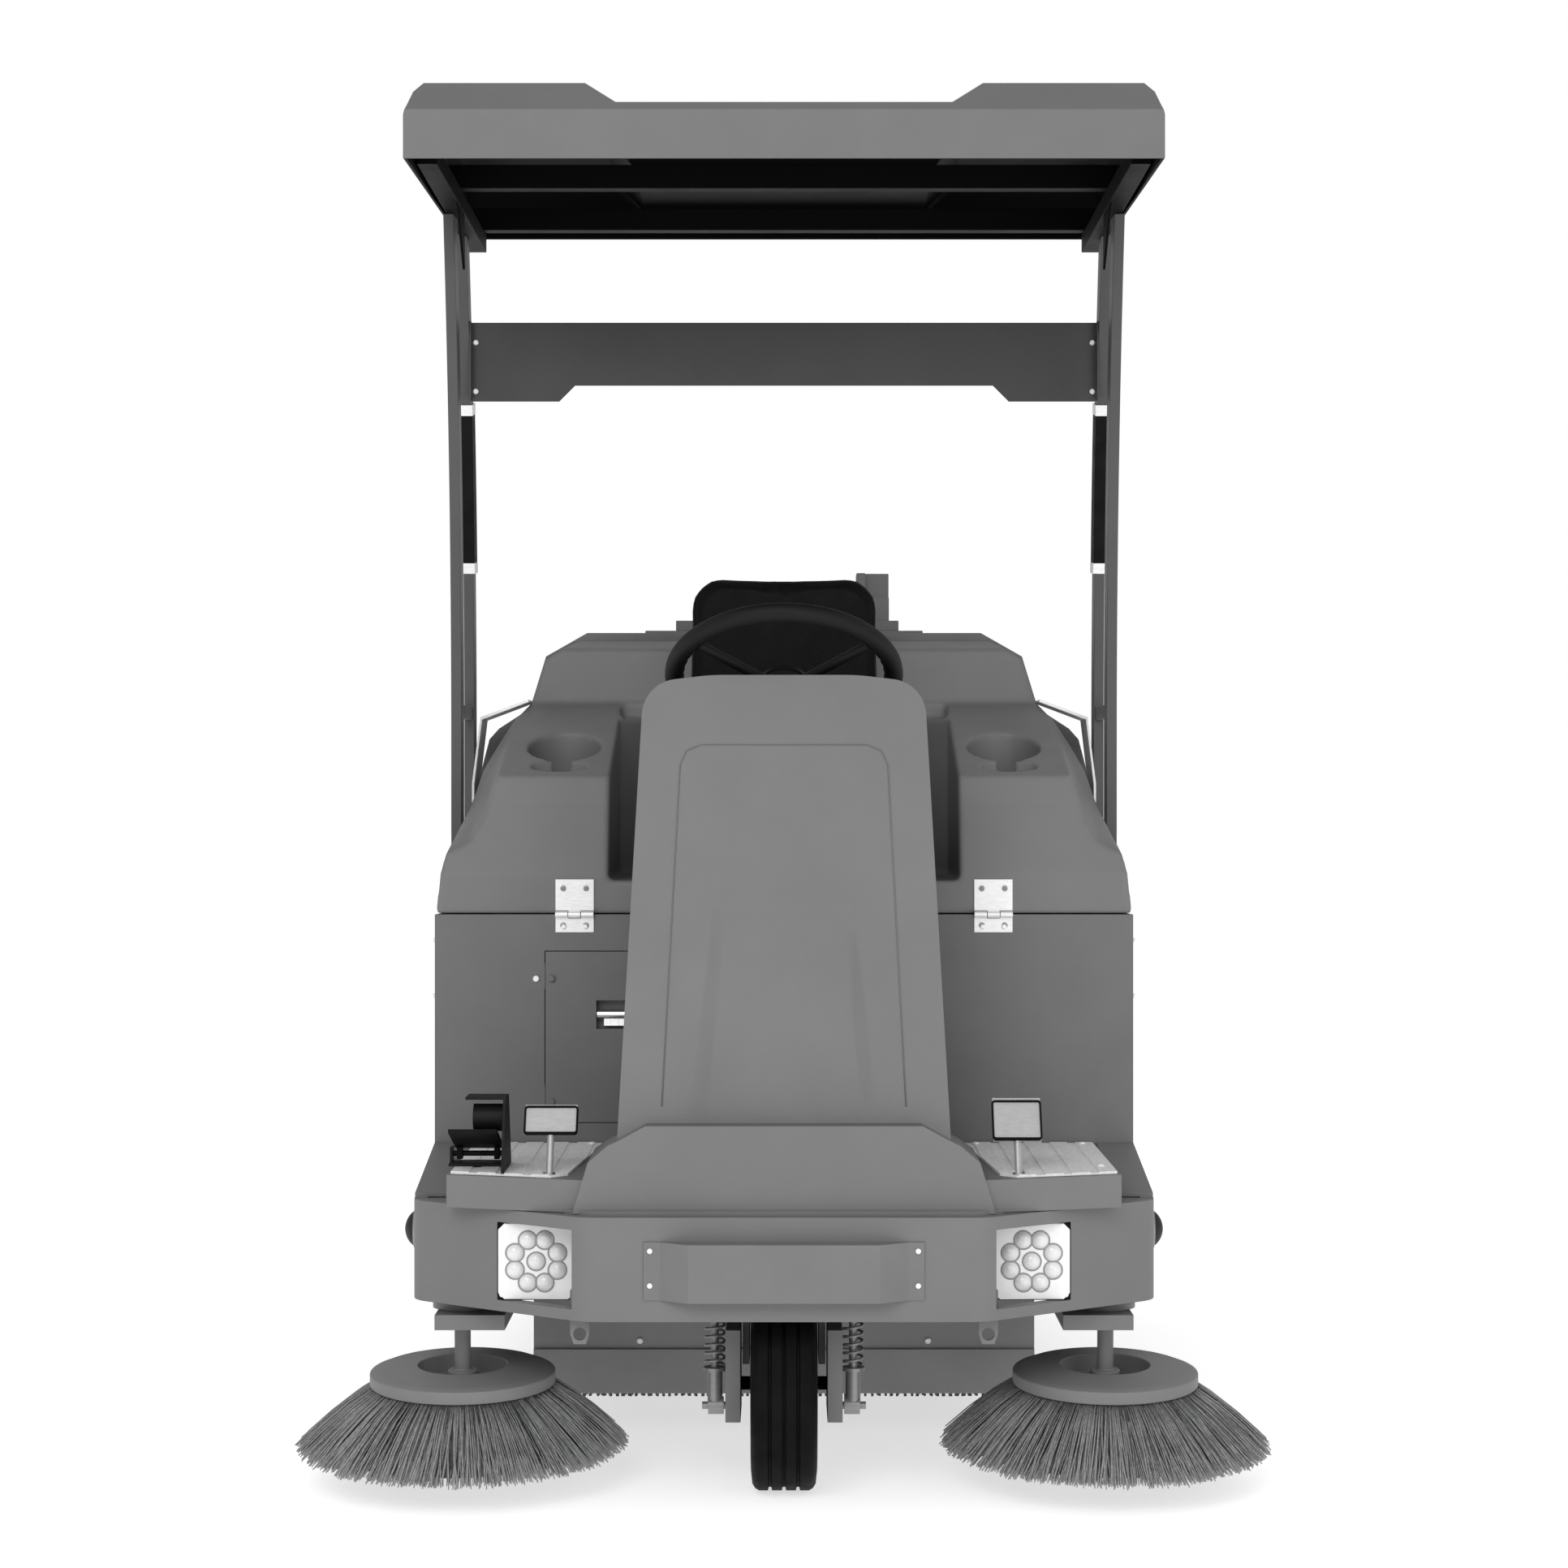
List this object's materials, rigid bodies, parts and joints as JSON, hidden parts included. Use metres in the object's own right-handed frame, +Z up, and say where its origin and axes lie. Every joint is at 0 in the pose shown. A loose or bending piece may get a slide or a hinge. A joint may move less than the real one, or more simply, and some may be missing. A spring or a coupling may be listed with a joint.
{
  "type": "ride-on sweeper",
  "caption": "Ride-on floor sweeper with a driver's seat on a tilting hood, steered front wheel, side brushes, main broom, hopper and overhead canopy.",
  "frame": {"origin": "on the floor, under the middle of the machine's bounding box", "axes": "+X towards the driver's left as seen from the front, +Y towards the machine's rear, +Z up"},
  "size_m": [1.456, 1.88, 2.07],
  "materials": {
    "body_grey": "satin moulded",
    "dark_panel": "satin powder coat",
    "frame_black": "satin powder coat",
    "upright_grey": "satin powder coat",
    "bright_steel": "zinc plated",
    "tread_metal": "grooved",
    "black_rubber": "matte",
    "tyre_rubber": "matte",
    "black_plastic": "matte",
    "lamp_white": "gloss",
    "lamp_dome": "clear",
    "marker_amber": "gloss",
    "seat_vinyl": "grained vinyl",
    "bristle": "matte",
    "stop_red": "gloss"
  },
  "bodies": {
    "chassis": {"chassis_frame": "frame_black", "front_bumper": "body_grey", "headlight_plates": "lamp_white", "headlight_leds": "lamp_dome", "bumper_plate": "dark_panel", "side_markers": "marker_amber", "tow_eyes": "frame_black", "front_cowl": "body_grey", "step_treads": "tread_metal", "steering_console": "body_grey", "dashboard": "black_plastic", "steering_bearings": "frame_black", "seat_box": "dark_panel", "hood_hinge_lower": "bright_steel", "upright_right": "upright_grey", "upright_left": "upright_grey", "grip_sleeves": "black_rubber", "grip_bands": "bright_steel", "cross_panel": "upright_grey", "canopy_rails": "frame_black", "canopy_roof": "body_grey", "accelerator_bracket": "black_plastic", "broom_housing": "frame_black", "skirt_flaps": "black_rubber", "rear_cover": "body_grey", "rear_top_box": "dark_panel", "filter_unit": "black_plastic", "power_pack": "black_plastic", "body_screws": "bright_steel"},
    "steering_wheel": {"steering_wheel_rim": "black_plastic", "steering_wheel_hub": "black_plastic"},
    "steering_shaft": {"steering_shaft": "bright_steel"},
    "key": {"key_switch": "bright_steel"},
    "stop_button": {"emergency_stop": "stop_red"},
    "fork": {"fork_crown": "frame_black", "suspension_springs": "bright_steel"},
    "fork_lower": {"fork_blades": "frame_black", "shock_absorbers": "bright_steel"},
    "front_wheel": {"front_hub": "black_plastic", "front_tyre": "tyre_rubber"},
    "rear_wheel_right": {"rear_wheel_right": "tyre_rubber"},
    "rear_wheel_left": {"rear_wheel_left": "tyre_rubber"},
    "door": {"access_door": "dark_panel"},
    "latch": {"door_latch": "bright_steel"},
    "hood": {"hood": "body_grey", "hood_hinge_upper": "bright_steel", "seat_cushion": "seat_vinyl", "seat_back": "seat_vinyl", "side_guards": "bright_steel"},
    "accelerator": {"accelerator_pedal": "black_plastic"},
    "brake": {"brake_pedal": "bright_steel"},
    "parking": {"parking_pedal": "bright_steel"},
    "brush_arm_right": {"brush_arm_right": "frame_black"},
    "brush_arm_left": {"brush_arm_left": "frame_black"},
    "brush_right": {"brush_disc_right": "body_grey", "bristles_right": "bristle"},
    "brush_left": {"brush_disc_left": "body_grey", "bristles_left": "bristle"},
    "main_broom": {"main_broom": "bristle"},
    "hopper": {"hopper": "frame_black"}
  },
  "joints": [
    {"name": "fork_steer", "type": "hinge", "parent": "chassis", "child": "fork", "pos_m": [0, -0.719, 0.35], "axis": [0, 0, 1], "range_deg": [-40, 40]},
    {"name": "steering_wheel_turn", "type": "hinge", "parent": "chassis", "child": "steering_wheel", "pos_m": [0, -0.54, 1.206], "axis": [0, 0.5299, 0.848], "range_deg": [-120, 120]},
    {"name": "steering_shaft_turn", "type": "hinge", "parent": "chassis", "child": "steering_shaft", "pos_m": [0, -0.64386, 0.9], "axis": [0, 0, 1], "range_deg": [-120, 120]},
    {"name": "front_suspension", "type": "slide", "parent": "fork", "child": "fork_lower", "axis": [0, 0, 1], "range_m": [0, 0.02], "stiffness_N_per_m": 20000, "deforming": ["suspension_springs"]},
    {"name": "front_wheel_spin", "type": "hinge", "parent": "fork_lower", "child": "front_wheel", "pos_m": [0, -0.719, 0.155], "axis": [1, 0, 0], "continuous": true},
    {"name": "rear_wheel_right_spin", "type": "hinge", "parent": "chassis", "child": "rear_wheel_right", "pos_m": [0.415, 0.54, 0.175], "axis": [1, 0, 0], "continuous": true},
    {"name": "rear_wheel_left_spin", "type": "hinge", "parent": "chassis", "child": "rear_wheel_left", "pos_m": [-0.415, 0.54, 0.175], "axis": [1, 0, 0], "continuous": true},
    {"name": "brush_lower_right", "type": "hinge", "parent": "chassis", "child": "brush_arm_right", "pos_m": [0.478, -0.4, 0.3], "axis": [1, 0, 0], "range_deg": [0, 4]},
    {"name": "brush_lower_left", "type": "hinge", "parent": "chassis", "child": "brush_arm_left", "pos_m": [-0.478, -0.4, 0.3], "axis": [1, 0, 0], "range_deg": [0, 4]},
    {"name": "brush_right_spin", "type": "hinge", "parent": "brush_arm_right", "child": "brush_right", "pos_m": [0.478, -0.68, 0.054], "axis": [0, -0.0523, 0.9986], "continuous": true},
    {"name": "brush_left_spin", "type": "hinge", "parent": "brush_arm_left", "child": "brush_left", "pos_m": [-0.478, -0.68, 0.054], "axis": [0, -0.0523, 0.9986], "continuous": true},
    {"name": "main_broom_spin", "type": "hinge", "parent": "chassis", "child": "main_broom", "pos_m": [0, -0.06, 0.145], "axis": [1, 0, 0], "continuous": true},
    {"name": "hood_tilt", "type": "hinge", "parent": "chassis", "child": "hood", "pos_m": [0, -0.436, 0.835], "axis": [1, 0, 0], "range_deg": [0, 35]},
    {"name": "access_door_swing", "type": "hinge", "parent": "chassis", "child": "door", "pos_m": [-0.3765, -0.43, 0.6425], "axis": [0, 0, -1], "range_deg": [0, 75]},
    {"name": "door_latch_turn", "type": "hinge", "parent": "door", "child": "latch", "pos_m": [-0.2575, -0.421, 0.6775], "axis": [-1, 0, 0], "range_deg": [0, 40], "stiffness_Nm_per_rad": 0.05},
    {"name": "accelerator_press", "type": "hinge", "parent": "chassis", "child": "accelerator", "pos_m": [-0.449, -0.715, 0.494], "axis": [1, 0, 0], "range_deg": [0, 12], "stiffness_Nm_per_rad": 4, "springref_deg": -14.32},
    {"name": "brake_press", "type": "hinge", "parent": "chassis", "child": "brake", "pos_m": [-0.34, -0.821, 0.446], "axis": [1, 0, 0], "range_deg": [0, 15], "stiffness_Nm_per_rad": 6, "springref_deg": -11.46},
    {"name": "parking_press", "type": "hinge", "parent": "chassis", "child": "parking", "pos_m": [0.34, -0.821, 0.446], "axis": [1, 0, 0], "range_deg": [0, 15], "stiffness_Nm_per_rad": 6, "springref_deg": -11.46},
    {"name": "hopper_slide", "type": "slide", "parent": "chassis", "child": "hopper", "axis": [0, 1, 0], "range_m": [0, 0.45]},
    {"name": "key_turn", "type": "hinge", "parent": "chassis", "child": "key", "pos_m": [0.11, -0.54847, 1.11696], "axis": [0, 0.5299, 0.848], "range_deg": [-60, 60]},
    {"name": "stop_press", "type": "slide", "parent": "chassis", "child": "stop_button", "axis": [0, -0.5299, -0.848], "range_m": [0, 0.005], "stiffness_N_per_m": 400, "springref_m": -0.002}
  ],
  "couplings": [
    {"joint": "steering_wheel_turn", "follows": "fork_steer", "ratio": 3},
    {"joint": "steering_shaft_turn", "follows": "fork_steer", "ratio": 3},
    {"joint": "brush_lower_left", "follows": "brush_lower_right", "ratio": 1}
  ]
}
